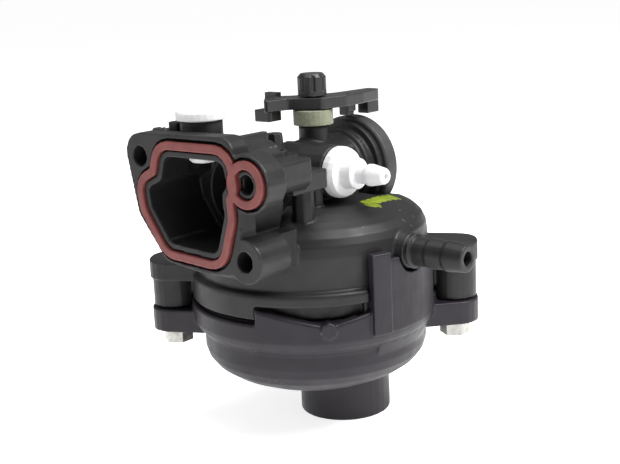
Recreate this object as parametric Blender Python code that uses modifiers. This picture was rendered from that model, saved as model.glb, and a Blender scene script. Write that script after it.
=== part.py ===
"""Float-bowl carburetor of a small four-stroke engine, modelled as its separate pieces.

Frame: the origin is the centre of the air inlet on the flange's sealing face. +Y runs along the
bore from the air inlet to the engine spigot, +X points to the primer nozzle and the fuel inlet,
and +Z is up. Lengths are in metres, each written as millimetres times MM.
"""

import math

import bmesh
import bpy
from mathutils import Vector

MM = 0.001
GAP = 0.3 * MM          # free space between neighbouring pieces
SINK = 0.5 * MM         # how far one shape reaches into another that it joins
ROUND = 24              # sides of a middling cylinder
FINE = 48               # sides of the dome and the bowl

# Bore, from the air inlet to the engine
INLET_DEPTH = 16.0 * MM         # depth of the wide inlet chamber
INLET_WALL = 2.6 * MM
VENTURI_RADIUS = 5.2 * MM
VENTURI_START = 26.0 * MM
VENTURI_END = VENTURI_START + 7.0 * MM
THROAT_RADIUS = 6.8 * MM        # bore at the throttle plate
THROAT_START = VENTURI_END + 4.2 * MM
OUTLET_RADIUS = THROAT_RADIUS + 0.8 * MM
NECK_WALL = 1.5 * MM
THROAT_WALL = 2.0 * MM
SPIGOT_END = 60.8 * MM
SPIGOT_RADIUS = OUTLET_RADIUS + 2.5 * MM
SPIGOT_SEAL_RADIUS = SPIGOT_RADIUS + 2.4 * MM
SPIGOT_SEAL_WIDTH = 4.6 * MM
SPIGOT_SEAL_END = 0.6 * MM      # from the spigot's end to its seal
FUNNEL_RADIUS = 11.5 * MM
FUNNEL_END_RADIUS = 8.0 * MM

# Flange
FLANGE_THICKNESS = 5.0 * MM
STUD_RADIUS = 2.25 * MM
EAR_RADIUS = 4.9 * MM
UPPER_STUD = (-14.6 * MM, 9.7 * MM)
LOWER_STUD = (16.1 * MM, -10.7 * MM)
LOWER_BOSS_DEPTH = 9.5 * MM
LOWER_WEB_DEPTH = 17.0 * MM     # web that ties the lower ear to the dome
LOWER_STUD_DEPTH = LOWER_BOSS_DEPTH - 1.5 * MM
VENT_PORT = (17.8 * MM, 5.9 * MM)
VENT_RADIUS = 2.05 * MM
VENT_BOSS_RADIUS = 6.3 * MM
VENT_BOSS_DEPTH = 5.5 * MM
VENT_TUBE_DEPTH = 17.5 * MM
VENT_COLUMN = (12.4 * MM, 23.6 * MM)
VENT_COLUMN_ROOT = 2.9 * MM
VENT_COLUMN_TOP = 2.2 * MM
VENT_LINK_RADIUS = 0.9 * MM
SEAL_INSET = 1.6 * MM           # land between the inlet edge and the seal
SEAL_WIDTH = 1.85 * MM
SEAL_GROOVE = 1.5 * MM
SEAL_PROUD = 0.6 * MM
SEAL_ROOM = 0.6 * MM            # free space round the seal's outer side

# Throttle
THROTTLE_Y = THROAT_START + 5.6 * MM
SHAFT_RADIUS = 1.9 * MM
SHAFT_FOOT = 2.4 * MM           # how far the shaft runs below the bore
TOWER_RADIUS = 3.7 * MM
TOWER_TOP = THROAT_RADIUS + THROAT_WALL + 3.0 * MM
WASHER_RADIUS = 4.85 * MM
WASHER_HEIGHT = 3.6 * MM
LEVER_THICKNESS = 2.7 * MM
LEVER_LIP = 2.2 * MM            # how far its hook and block hang below the lever
LINK_HOLE = 0.9 * MM            # radius
KNOB_RADIUS = 3.5 * MM
KNOB_HEIGHT = 5.4 * MM
KNOB_FLUTES = 8
PLATE_THICKNESS = 1.2 * MM

# Primer nozzle
NOZZLE_Y = THROTTLE_Y - 5.2 * MM
NOZZLE_Z = 2.1 * MM
NOZZLE_BOSS_RADIUS = 6.3 * MM
NOZZLE_BOSS_END = 11.0 * MM
NOZZLE_DISC_RADIUS = 6.05 * MM
NOZZLE_LENGTH = 14.2 * MM
NOZZLE_SHANK = 2.6 * MM
SOCKET_RADIUS = 4.4 * MM
SOCKET_DEPTH = 2.2 * MM
PASSAGE_POST_RADIUS = 1.8 * MM
PASSAGE_POST = (NOZZLE_BOSS_END - PASSAGE_POST_RADIUS, NOZZLE_Y - 6.0 * MM)
PRIMER_BORE = 0.8 * MM
ORING = 0.6 * MM                # radius of the O-ring's cord

# Choke plug and pilot jet
PLUG = (-4.6 * MM, 10.0 * MM)
PLUG_CAP_RADIUS = 5.7 * MM
PLUG_CAP_HEIGHT = 2.1 * MM
PLUG_BOSS_RADIUS = 4.8 * MM
PLUG_BOSS_TOP = 16.9 * MM
PLUG_SHANK_RADIUS = 3.3 * MM
PLUG_SHANK_END = 7.6 * MM
PILOT = (3.6 * MM, 24.6 * MM)
PILOT_BOSS_RADIUS = 2.9 * MM
PILOT_BOSS_TOP = 8.6 * MM
PILOT_CAP_RADIUS = 2.2 * MM
PILOT_CAP_HEIGHT = 3.6 * MM
PILOT_SHANK_RADIUS = 1.3 * MM
PILOT_DEPTH = 4.0 * MM

# Trim on top of the inlet chamber
RIB_X = 4.0 * MM
RIB_WIDTH = 1.6 * MM
RIB_END = 20.5 * MM
RIB_TOP = 13.6 * MM
SHELF_TOP = 13.6 * MM
SHELF_END = 12.2 * MM
TOOTH_RADIUS = 0.8 * MM
TOOTH_PLACES = (-19.0, -17.4, -15.8)

# Cover and float bowl
BOWL_Y = 40.2 * MM
BOWL_RADIUS = 27.6 * MM
BOWL_WALL = 2.2 * MM
SKIRT_RADIUS = BOWL_RADIUS + 1.1 * MM
SKIRT_HEIGHT = 6.3 * MM
SKIRT_STEP = 0.3 * MM
DOME_TOP = -5.0 * MM
PARTING = DOME_TOP - 23.3 * MM  # lower edge of the cover's skirt
BOWL_DEPTH = 22.8 * MM          # from the parting face to the bowl's outer floor
SPIGOT_CLEARANCE = SPIGOT_SEAL_RADIUS + 1.9 * MM
COVER_ROOF = -SPIGOT_CLEARANCE - 3.1 * MM    # ceiling of the float chamber
SUMP = (4.0 * MM, BOWL_Y + 5.8 * MM)
SUMP_RADIUS = 11.3 * MM
SUMP_BOTTOM = PARTING - BOWL_DEPTH - 9.2 * MM

# Recess in the cover's skirt above the bowl's ledges, with its two ends in degrees round the bowl
NOTCH_DEPTH = 1.5 * MM
NOTCH_HEIGHT = 3.6 * MM
NOTCH_ANGLES = (-76, -26)

# Ledges round the front of the bowl's rim
LEDGE_MIDDLE = -43.5            # degrees round the bowl
LEDGE_RISE = 0.12 * MM          # for each degree away from the middle

# Screw ears
EAR_REACH = BOWL_RADIUS + 7.1 * MM
EAR_ANGLE = math.radians(37.5)
SCREW_EAR_RADIUS = 5.8 * MM
EAR_SINK = 1.0 * MM             # how far the ears reach into the wall
EAR_WEB_HALF = 2.2 * MM
SCREW_COLUMN_RADIUS = SCREW_EAR_RADIUS - 0.3 * MM
EAR_SPLIT = PARTING - 2.8 * MM
BOWL_EAR_THICKNESS = 5.6 * MM
EAR_TOPS = {"right": PARTING + 11.1 * MM, "left": PARTING + 8.9 * MM}
EAR_PLATE = 4.5 * MM
SCREW_RADIUS = 2.1 * MM
SCREW_HEAD_FLATS = 6.35 * MM
SCREW_HEAD_HEIGHT = 3.7 * MM
SCREW_REACH = 11.0 * MM

# Fuel inlet
BARB_Z = PARTING + 13.2 * MM
BARB_END = SKIRT_RADIUS + 16.5 * MM
BARB_RADIUS = 3.55 * MM
BARB_COLLAR = 4.1 * MM
BARB_ROOT = 6.2 * MM
SHIELD_ROOM = 0.35 * MM         # between the cover and the bowl's shield
SHIELD_REACH = 1.9 * MM
SHIELD_RIB_REACH = 2.8 * MM
BARB_BORE = 1.65 * MM

# Float gear
PIN_X = BOWL_RADIUS - 7.0 * MM
VALVE_X = PIN_X - 6.8 * MM
VALVE_HOUSING_RADIUS = 4.6 * MM
VALVE_HOUSING_END = PARTING + 1.8 * MM
VALVE_SEAT_DEPTH = 5.6 * MM
NEEDLE_RADIUS = 1.5 * MM
NEEDLE_LENGTH = 8.2 * MM
SEAT_RADIUS = 2.9 * MM
SEAT_HEIGHT = 2.2 * MM
SEAT_BORE = 1.0 * MM
FLOAT_RADIUS = BOWL_RADIUS - 7.0 * MM
FLOAT_INNER = 6.5 * MM
FLOAT_HEIGHT = 8.0 * MM
FLOAT_TOP = PARTING - 4.1 * MM
FLOAT_SLOT = 7.2 * MM           # half width of the float's slot round the jet tower
PIN_Z = PARTING - 1.1 * MM
PIN_RADIUS = 0.8 * MM
KNUCKLE_RADIUS = 1.9 * MM
PIN_LENGTH = 17.0 * MM
TANG_HALF = 2.4 * MM
HINGE_HALF = 4.2 * MM           # half width of the float's hinge knuckle

# Main jet
JET_Y = VENTURI_START + 4.0 * MM
JET_TOWER_RADIUS = 4.2 * MM
JET_TOWER_END = PARTING - BOWL_DEPTH + 5.4 * MM
JET_BORE = 2.3 * MM
TUBE_RADIUS = 1.8 * MM
TUBE_BORE = 1.0 * MM
CROSS_HOLES = 4
CROSS_SHIFT = 0.02 * MM         # keeps the cross holes' edges off the tube's own
JET_LENGTH = 5.0 * MM
JET_ORIFICE = 0.5 * MM          # radius
JET_HEAD_RADIUS = 3.4 * MM
JET_HEAD_HEIGHT = 0.9 * MM
GASKET_RADIUS = BOWL_RADIUS - 1.0 * MM
GASKET_CORD = 0.7 * MM
GASKET_GROOVE = 1.8 * MM

# Dome, from its middle outwards: (inset from the bowl's wall, drop below the dome's top)
DOME_CURVE = [
    (17.6, 0.1), (11.6, 0.4), (7.6, 1.0), (4.4, 2.0), (2.0, 3.2), (0.4, 4.7), (-0.5, 6.6), (-0.8, 9.0),
]
# Bowl, from the wall inwards: (inset from the wall, rise above the floor), outside and then inside
BOWL_CURVE = [
    (0.0, 10.6), (0.6, 8.5), (2.2, 6.4), (5.2, 4.3), (9.8, 2.2), (14.8, 0.9), (21.0, 0.2),
]
BOWL_INNER_CURVE = [(0.0, 10.2), (1.2, 7.2), (5.2, 3.8), (12.8, 0.9)]

# Corners of the air inlet as (x, z, rounding), anticlockwise seen from the front
INLET_CORNERS = [
    (11.4, 10.2, 2.6), (-6.6, 10.1, 2.0), (-8.2, 4.7, 1.6), (-12.6, 2.7, 1.6), (-11.9, -1.5, 2.0),
    (-6.4, -9.3, 2.6), (8.0, -10.0, 2.4), (10.9, -1.5, 3.0), (10.6, 3.2, 1.5), (12.1, 5.2, 1.5),
]
# Corners of the flange without its vent boss and its lower ear
FLANGE_CORNERS = [
    (14.4, 15.4, 3.6), (-20.1, 14.8, 4.6), (-16.4, -3.6, 4.0), (-8.2, -13.7, 3.0),
    (4.0, -15.0, 4.0), (14.6, -14.0, 3.0), (15.4, -4.0, 2.0),
]
# Vent tube, round its port, with a flat top
VENT_TUBE_CORNERS = [(2.9, 3.4, 0.7), (-3.4, 3.4, 0.7), (-3.4, -3.6, 2.6), (2.9, -3.6, 2.6)]
# Throttle lever seen from above, relative to the shaft: long arm, then short arm
LEVER_CORNERS = [
    (4.6, -1.6, 1.6), (6.6, 4.8, 3.0), (6.2, 12.0, 2.0), (4.4, 20.8, 0.8), (0.6, 21.2, 0.8),
    (-0.8, 9.0, 3.0), (-4.4, 4.0, 2.5), (-7.0, 0.6, 2.0), (-12.6, -3.2, 0.8), (-4.6, -12.4, 0.8),
    (-3.0, -6.0, 1.8),
]


def clear_scene():
    for obj in list(bpy.data.objects):
        bpy.data.objects.remove(obj, do_unlink=True)


def new_collection(name, hidden):
    found = bpy.data.collections.new(name)
    found.hide_render = hidden
    bpy.context.scene.collection.children.link(found)
    return found


clear_scene()
PARTS = new_collection("carburetor", hidden=False)
TOOLS = new_collection("carburetor_cutters", hidden=True)


def make_material(name, colour, roughness, metallic=0.0):
    material = bpy.data.materials.new(name)
    material.use_nodes = True
    shader = material.node_tree.nodes["Principled BSDF"]
    shader.inputs["Base Color"].default_value = (*colour, 1.0)
    shader.inputs["Roughness"].default_value = roughness
    shader.inputs["Metallic"].default_value = metallic
    return material


BLACK_NYLON = make_material("black_nylon", (0.055, 0.053, 0.056), 0.42)
BOWL_NYLON = make_material("bowl_nylon", (0.050, 0.046, 0.052), 0.38)
LEVER_NYLON = make_material("lever_nylon", (0.040, 0.040, 0.042), 0.35)
RED_SILICONE = make_material("red_silicone", (0.36, 0.075, 0.065), 0.55)
BLACK_RUBBER = make_material("black_rubber", (0.030, 0.030, 0.032), 0.60)
GREEN_FELT = make_material("olive_felt", (0.42, 0.43, 0.29), 0.80)
WHITE_ACETAL = make_material("white_acetal", (0.83, 0.83, 0.85), 0.35)
FLOAT_FOAM = make_material("float_plastic", (0.62, 0.60, 0.52), 0.50)
ZINC = make_material("zinc_steel", (0.62, 0.62, 0.60), 0.32, 1.0)
STEEL = make_material("bright_steel", (0.60, 0.60, 0.61), 0.22, 1.0)
BRASS = make_material("brass", (0.75, 0.55, 0.24), 0.30, 1.0)


# ---------------------------------------------------------------- shapes

def add_object(name, mesh, collection=None):
    obj = bpy.data.objects.new(name, mesh)
    (collection or TOOLS).objects.link(obj)
    if (collection or TOOLS) is TOOLS:
        obj.display_type = "WIRE"
        obj.hide_render = True
    return obj


def aim(obj, axis):
    """Turns the object's own +Z to the named world axis."""
    if axis == "X":
        obj.rotation_euler = (0.0, math.pi / 2, 0.0)
    elif axis == "Y":
        obj.rotation_euler = (-math.pi / 2, 0.0, 0.0)


def place(obj, axis, at, along):
    """Puts the object at the two coordinates `at`, and at `along` on its axis."""
    first, second = at
    spots = {"X": (along, first, second), "Y": (first, along, second), "Z": (first, second, along)}
    obj.location = spots[axis]
    aim(obj, axis)


def rod(name, radius, low, high, at, axis="Z", sides=ROUND, end_radius=None):
    """A cylinder or a cone from low to high along its axis."""
    mesh = bpy.data.meshes.new(name)
    shape = bmesh.new()
    bmesh.ops.create_cone(
        shape, cap_ends=True, segments=sides, radius1=radius,
        radius2=radius if end_radius is None else end_radius, depth=high - low,
    )
    shape.to_mesh(mesh)
    shape.free()
    mesh.shade_smooth()
    mesh.set_sharp_from_angle(angle=math.radians(35))
    obj = add_object(name, mesh)
    place(obj, axis, at, (low + high) / 2)
    return obj


def block(name, low, high):
    """A box between two corners."""
    mesh = bpy.data.meshes.new(name)
    shape = bmesh.new()
    bmesh.ops.create_cube(shape, size=1.0)
    size = Vector(high) - Vector(low)
    bmesh.ops.scale(shape, vec=size, verts=shape.verts)
    shape.to_mesh(mesh)
    shape.free()
    obj = add_object(name, mesh)
    obj.location = (Vector(low) + Vector(high)) / 2
    return obj


def turned(name, profile, at=(0.0, 0.0), axis="Z", steps=ROUND, ring=False):
    """A turned shape. The profile holds (radius, place along the axis), outer side from top to bottom."""
    mesh = bpy.data.meshes.new(name)
    edges = [(i, i + 1) for i in range(len(profile) - 1)]
    if ring:
        edges.append((len(profile) - 1, 0))
    mesh.from_pydata([(r, 0.0, h) for r, h in profile], edges, [])
    obj = add_object(name, mesh)
    place(obj, axis, at, 0.0)
    screw = obj.modifiers.new("turn", "SCREW")
    screw.axis = "Z"
    screw.steps = steps
    screw.render_steps = steps
    screw.use_merge_vertices = True
    screw.merge_threshold = 1e-6
    screw.use_smooth_shade = True
    return obj


def rounded(corners, grow=0.0, arc_steps=4):
    """Points of an outline given as anticlockwise (x, y, rounding) in millimetres, moved out by grow."""
    count = len(corners)
    spots = [Vector((x * MM, y * MM)) for x, y, _ in corners]
    points = []
    for i in range(count):
        before, here, after = spots[i - 1], spots[i], spots[(i + 1) % count]
        way_in, way_out = (here - before).normalized(), (after - here).normalized()
        turn = math.atan2(way_in.cross(way_out), way_in.dot(way_out))
        side_in = Vector((way_in.y, -way_in.x))
        side_out = Vector((way_out.y, -way_out.x))
        corner = here + (side_in + side_out) * grow / (1 + side_in.dot(side_out))
        radius = corners[i][2] * MM + (grow if turn > 0 else -grow)
        radius = max(radius, 0.2 * MM)
        reach = radius * math.tan(abs(turn) / 2)
        side = -1.0 if turn > 0 else 1.0
        start = corner - way_in * reach
        centre = start + side_in * radius * side
        spoke = start - centre
        for step in range(arc_steps + 1):
            angle = turn * step / arc_steps
            cos, sin = math.cos(angle), math.sin(angle)
            points.append(centre + Vector((spoke.x * cos - spoke.y * sin, spoke.x * sin + spoke.y * cos)))
    return points


def ring_sector(inner, outer, start, end, arc_steps=10):
    """Outline of a piece of a ring between two angles in degrees."""
    angles = [math.radians(start + (end - start) * i / arc_steps) for i in range(arc_steps + 1)]
    out = [Vector((outer * math.cos(a), outer * math.sin(a))) for a in angles]
    back = [Vector((inner * math.cos(a), inner * math.sin(a))) for a in reversed(angles)]
    return out + back


def slab(name, outlines, low, high, axis="Z", at=(0.0, 0.0)):
    """A flat outline, with any holes in it, made solid from low to high along its axis, as a mesh."""
    curve = bpy.data.curves.new(name, "CURVE")
    curve.dimensions = "2D"
    curve.fill_mode = "BOTH"
    curve.extrude = (high - low) / 2
    for outline in outlines:
        spline = curve.splines.new("POLY")
        spline.points.add(len(outline) - 1)
        spline.use_cyclic_u = True
        for point, spot in zip(spline.points, outline):
            point.co = (spot.x, spot.y, 0.0, 1.0)
    flat = bpy.data.objects.new(name + "_outline", curve)
    TOOLS.objects.link(flat)
    if axis == "Y":
        flat.location = (at[0], (low + high) / 2, at[1])
        flat.rotation_euler = (math.pi / 2, 0.0, 0.0)
    else:
        flat.location = (at[0], at[1], (low + high) / 2)
    return meshed(name, flat)


def meshed(name, curve_object):
    """Turns a curve object into a welded mesh object and removes the curve."""
    bpy.context.view_layer.update()
    graph = bpy.context.evaluated_depsgraph_get()
    mesh = bpy.data.meshes.new_from_object(curve_object.evaluated_get(graph))
    shape = bmesh.new()
    shape.from_mesh(mesh)
    bmesh.ops.remove_doubles(shape, verts=shape.verts, dist=1e-6)
    shape.to_mesh(mesh)
    shape.free()
    obj = add_object(name, mesh)
    obj.matrix_world = curve_object.matrix_world
    bpy.data.objects.remove(curve_object, do_unlink=True)
    return obj


def bar(name, points, radius):
    """A round bar along points, as a mesh."""
    curve = bpy.data.curves.new(name, "CURVE")
    curve.dimensions = "3D"
    curve.bevel_depth = radius
    curve.bevel_resolution = 2
    curve.use_fill_caps = True
    spline = curve.splines.new("POLY")
    spline.points.add(len(points) - 1)
    for point, spot in zip(spline.points, points):
        point.co = (*spot, 1.0)
    wire = bpy.data.objects.new(name + "_wire", curve)
    TOOLS.objects.link(wire)
    return meshed(name, wire)


def boolean(target, tools, operation):
    for tool in tools:
        modifier = target.modifiers.new(operation.lower() + "_" + tool.name, "BOOLEAN")
        modifier.object = tool
        modifier.operation = operation
        modifier.solver = "EXACT"


def add(target, *tools):
    boolean(target, tools, "UNION")


def cut(target, *tools):
    boolean(target, tools, "DIFFERENCE")


def publish(obj, name, material):
    """Makes a shape one of the carburetor's own parts."""
    TOOLS.objects.unlink(obj)
    PARTS.objects.link(obj)
    obj.name = name
    obj.display_type = "TEXTURED"
    obj.hide_render = False
    obj.data.materials.clear()
    obj.data.materials.append(material)
    return obj


def circle(radius, centre=(0.0, 0.0), steps=ROUND):
    turns = [math.tau * i / steps for i in range(steps)]
    middle = Vector(centre)
    return [middle + radius * Vector((math.cos(turn), math.sin(turn))) for turn in turns]


def cord_profile(centre_radius, height, cord, steps=6):
    """The round section of a ring seal, as (radius, height) points."""
    turns = [math.tau * i / steps for i in range(steps)]
    return [(centre_radius + cord * math.cos(turn), height - cord * math.sin(turn)) for turn in turns]


def around_bowl(radius, degrees, height):
    angle = math.radians(degrees)
    return (radius * math.cos(angle), BOWL_Y + radius * math.sin(angle), height)


def ear_spot(side):
    sign = 1.0 if side == "right" else -1.0
    return (sign * EAR_REACH * math.cos(EAR_ANGLE), BOWL_Y + sign * EAR_REACH * math.sin(EAR_ANGLE))


def toward_ear(name, side, corners, low, high):
    """A flat shape whose own +X runs from the bowl's middle to one of its two screws."""
    made = slab(name, [rounded(corners)], low, high, at=(0.0, BOWL_Y))
    made.rotation_euler.z = EAR_ANGLE if side == "right" else EAR_ANGLE + math.pi
    return made


def ear_tab(name, side, low, high):
    """The tapered tab that carries a bowl screw, reaching out from the wall."""
    root, half = (BOWL_RADIUS - EAR_SINK) / MM, SCREW_EAR_RADIUS / MM
    tip = EAR_REACH / MM + half
    corners = [
        (root, -half - 2.6, 0.4), (tip, -half, half - 0.3), (tip, half, half - 0.3), (root, half + 2.6, 0.4),
    ]
    return toward_ear(name, side, corners, low, high)


def ear_web(name, side, low, high):
    """The web between the cover's wall and the column that a bowl screw goes into."""
    root, tip, half = (BOWL_RADIUS - EAR_SINK) / MM, EAR_REACH / MM, EAR_WEB_HALF / MM
    corners = [(root, -half, 0.3), (tip, -half, 0.3), (tip, half, 0.3), (root, half, 0.3)]
    return toward_ear(name, side, corners, low, high)


# ---------------------------------------------------------------- main body

def cover():
    """The domed cover of the float chamber, with a cut behind it that leaves room round the spigot."""
    skirt_top = PARTING + SKIRT_HEIGHT
    neck = SKIRT_RADIUS - SKIRT_STEP
    curve = [(BOWL_RADIUS - inset * MM, DOME_TOP - drop * MM) for inset, drop in DOME_CURVE]
    dome = turned("cover", [
        (0.0, DOME_TOP), *curve, (neck, skirt_top + SKIRT_STEP), (SKIRT_RADIUS, skirt_top),
        (SKIRT_RADIUS, PARTING), (0.0, PARTING),
    ], at=(0.0, BOWL_Y), steps=FINE)
    room_start = BOWL_Y + 9.3 * MM
    cut(dome, rod("spigot_room", SPIGOT_CLEARANCE, room_start, SPIGOT_END + BOWL_RADIUS, (0.0, 0.0), "Y"))
    for side, ear_top in EAR_TOPS.items():
        add(dome, ear_tab("cover_tab_" + side, side, ear_top - EAR_PLATE, ear_top))
        add(dome, ear_web("cover_web_" + side, side, PARTING + GAP, ear_top - SINK))
        add(dome, rod("cover_column_" + side, SCREW_COLUMN_RADIUS, EAR_SPLIT, ear_top - SINK, ear_spot(side)))
    return dome


def flange_shapes():
    flange = slab("flange", [rounded(FLANGE_CORNERS)], 0.0, FLANGE_THICKNESS, "Y")
    chamber = slab("chamber", [rounded(INLET_CORNERS, INLET_WALL)], SINK, INLET_DEPTH, "Y")
    ear = rod("lower_ear", EAR_RADIUS, 0.0, LOWER_BOSS_DEPTH, LOWER_STUD, "Y")
    web_low, web_high = LOWER_STUD[1] - 4.3 * MM, LOWER_STUD[1] + 3.7 * MM
    web = block("ear_web", (2 * MM, SINK, web_low), (LOWER_STUD[0], LOWER_WEB_DEPTH, web_high))
    vent_boss = rod("vent_boss", VENT_BOSS_RADIUS, 0.0, VENT_BOSS_DEPTH, VENT_PORT, "Y")
    vent_tube = slab("vent_tube", [rounded(VENT_TUBE_CORNERS)], SINK, VENT_TUBE_DEPTH, "Y", at=VENT_PORT)
    elbow_low, elbow_high = VENT_PORT[1] - 4.7 * MM, VENT_PORT[1] - 0.3 * MM
    elbow = block(
        "vent_elbow", (VENT_COLUMN[0] - VENT_COLUMN_TOP, VENT_TUBE_DEPTH - 4 * MM, elbow_low),
        (VENT_PORT[0] + 1 * MM, VENT_COLUMN[1] + 1.2 * MM, elbow_high),
    )
    column = rod(
        "vent_column", VENT_COLUMN_ROOT, DOME_TOP - 5 * MM, elbow_high - SINK, VENT_COLUMN, sides=8,
        end_radius=VENT_COLUMN_TOP,
    )
    return [flange, chamber, ear, web, vent_boss, vent_tube, elbow, column]


def bore_shapes():
    """The neck, the throttle section and the spigot, as one turned shape along the bore."""
    throat = THROAT_RADIUS + THROAT_WALL
    venturi = VENTURI_RADIUS + NECK_WALL
    chamber_end = INLET_DEPTH - SINK
    collar_end = SPIGOT_END - SPIGOT_SEAL_END - SPIGOT_SEAL_WIDTH - GAP
    collar_start = collar_end - 1.7 * MM
    neck_start = collar_start - 2.2 * MM
    waist = SPIGOT_RADIUS - 0.3 * MM
    collar = SPIGOT_RADIUS + 1.3 * MM
    tube = turned("bore_tube", [
        (0.0, SPIGOT_END), (SPIGOT_RADIUS, SPIGOT_END), (SPIGOT_RADIUS, collar_end), (collar, collar_end),
        (collar, collar_start), (waist, collar_start - 0.1 * MM), (waist, neck_start),
        (throat, neck_start - 0.6 * MM), (throat, THROAT_START + 0.8 * MM), (throat - 0.8 * MM, THROAT_START),
        (venturi, THROAT_START), (venturi, VENTURI_START - 1 * MM),
        (FUNNEL_END_RADIUS, chamber_end), (0.0, chamber_end),
    ], axis="Y", steps=36)
    funnel = rod(
        "funnel", FUNNEL_RADIUS, chamber_end, VENTURI_START, (0.0, 0.0), "Y", end_radius=venturi + 0.2 * MM,
    )
    boss = rod("nozzle_boss", NOZZLE_BOSS_RADIUS, -4.5 * MM, NOZZLE_BOSS_END, (NOZZLE_Y, NOZZLE_Z), "X")
    foot = DOME_TOP - 3 * MM
    pedestal = block(
        "pedestal", (-5.5 * MM, THROTTLE_Y - 9.8 * MM, foot), (7.5 * MM, THROTTLE_Y + 7.2 * MM, 0.0),
    )
    tower = rod("tower", TOWER_RADIUS, 0.0, TOWER_TOP, (0.0, THROTTLE_Y))
    post = rod("passage_post", PASSAGE_POST_RADIUS, foot, NOZZLE_Z, PASSAGE_POST)
    return [tube, funnel, boss, pedestal, tower, post]


def trim_shapes():
    """Bosses, a rib and the choke detent teeth on top of the inlet chamber."""
    plug_boss = rod("plug_boss", PLUG_BOSS_RADIUS, 11 * MM, PLUG_BOSS_TOP, PLUG)
    pilot_boss = rod("pilot_boss", PILOT_BOSS_RADIUS, 2 * MM, PILOT_BOSS_TOP, PILOT)
    rib = block("rib", (RIB_X, FLANGE_THICKNESS - SINK, 9 * MM), (RIB_X + RIB_WIDTH, RIB_END, RIB_TOP))
    shelf = block(
        "shelf", (-20 * MM, FLANGE_THICKNESS - SINK, SHELF_TOP - 2 * MM), (-7 * MM, SHELF_END, SHELF_TOP),
    )
    stop = block(
        "detent_stop", (-13.4 * MM, SHELF_END - 4.2 * MM, SHELF_TOP - SINK),
        (-10.6 * MM, SHELF_END - 1.2 * MM, SHELF_TOP + 2.8 * MM),
    )
    teeth = [
        rod(f"detent_tooth_{i}", TOOTH_RADIUS, SHELF_END - 3.8 * MM, SHELF_END - 1.6 * MM,
            (x * MM, SHELF_TOP + 0.3 * MM), "Y", sides=6)
        for i, x in enumerate(TOOTH_PLACES)
    ]
    return [plug_boss, pilot_boss, rib, shelf, stop] + teeth


def barb_shape():
    """The fuel barb: a cone out of the dome, two thin collars, then a stout shank with two shallow barbs."""
    tip, root, waist = BARB_END, SKIRT_RADIUS, BARB_RADIUS - 0.25 * MM
    return turned("barb", [
        (0.0, tip), (BARB_RADIUS - 0.45 * MM, tip), (BARB_RADIUS, tip - 4.4 * MM),
        (BARB_RADIUS, tip - 5.0 * MM), (waist, tip - 5.1 * MM), (BARB_RADIUS, tip - 9.0 * MM),
        (BARB_RADIUS, tip - 9.6 * MM),
        (waist, tip - 9.7 * MM), (waist + 0.1 * MM, root + 3.0 * MM),
        (BARB_COLLAR, root + 2.9 * MM), (BARB_COLLAR, root + 2.4 * MM), (waist, root + 2.3 * MM),
        (waist, root + 1.8 * MM), (BARB_COLLAR, root + 1.7 * MM), (BARB_COLLAR, root + 1.0 * MM),
        (BARB_ROOT, root - 8 * MM), (0.0, root - 8 * MM),
    ], at=(BOWL_Y, BARB_Z), axis="X", steps=24)


def seal_outlines(room_inside, room_outside):
    """The seal's ring round the inlet and its ring round the vent port, widened on each side."""
    inner, outer = SEAL_INSET - room_inside, SEAL_INSET + SEAL_WIDTH + room_outside
    eye_inner, eye_outer = VENT_RADIUS + inner - 0.4 * MM, VENT_RADIUS + outer - 0.4 * MM
    return (
        [rounded(INLET_CORNERS, outer), rounded(INLET_CORNERS, inner)],
        [circle(eye_outer, VENT_PORT), circle(eye_inner, VENT_PORT)],
    )


def flange_cutters():
    """The air inlet, the seal's grooves and the stud holes."""
    front = -1 * MM
    loop, eye = seal_outlines(GAP, SEAL_ROOM)
    return [
        slab("inlet", [rounded(INLET_CORNERS)], front, INLET_DEPTH - GAP, "Y"),
        slab("seal_groove", loop, front, SEAL_GROOVE, "Y"),
        slab("vent_groove", eye, front, SEAL_GROOVE, "Y"),
        rod("upper_stud_hole", STUD_RADIUS, front, FLANGE_THICKNESS + 1 * MM, UPPER_STUD, "Y"),
        rod("lower_stud_hole", STUD_RADIUS, front, LOWER_STUD_DEPTH, LOWER_STUD, "Y"),
    ]


def vent_cutters():
    """The vent's way from its port, down through the column, into the float chamber."""
    bore_end = VENT_TUBE_DEPTH - 1.6 * MM
    link_end = VENT_PORT[1] - 3.3 * MM
    link = [
        (VENT_PORT[0], bore_end - VENT_LINK_RADIUS, VENT_PORT[1] - 1.0 * MM), (*VENT_COLUMN, link_end),
    ]
    drop_radius = VENT_LINK_RADIUS + 0.2 * MM
    return [
        rod("vent_bore", VENT_RADIUS, -1 * MM, bore_end, VENT_PORT, "Y"),
        bar("vent_link", link, VENT_LINK_RADIUS),
        rod("vent_drop", drop_radius, COVER_ROOF - 1 * MM, link_end + GAP, VENT_COLUMN, sides=16),
    ]


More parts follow.
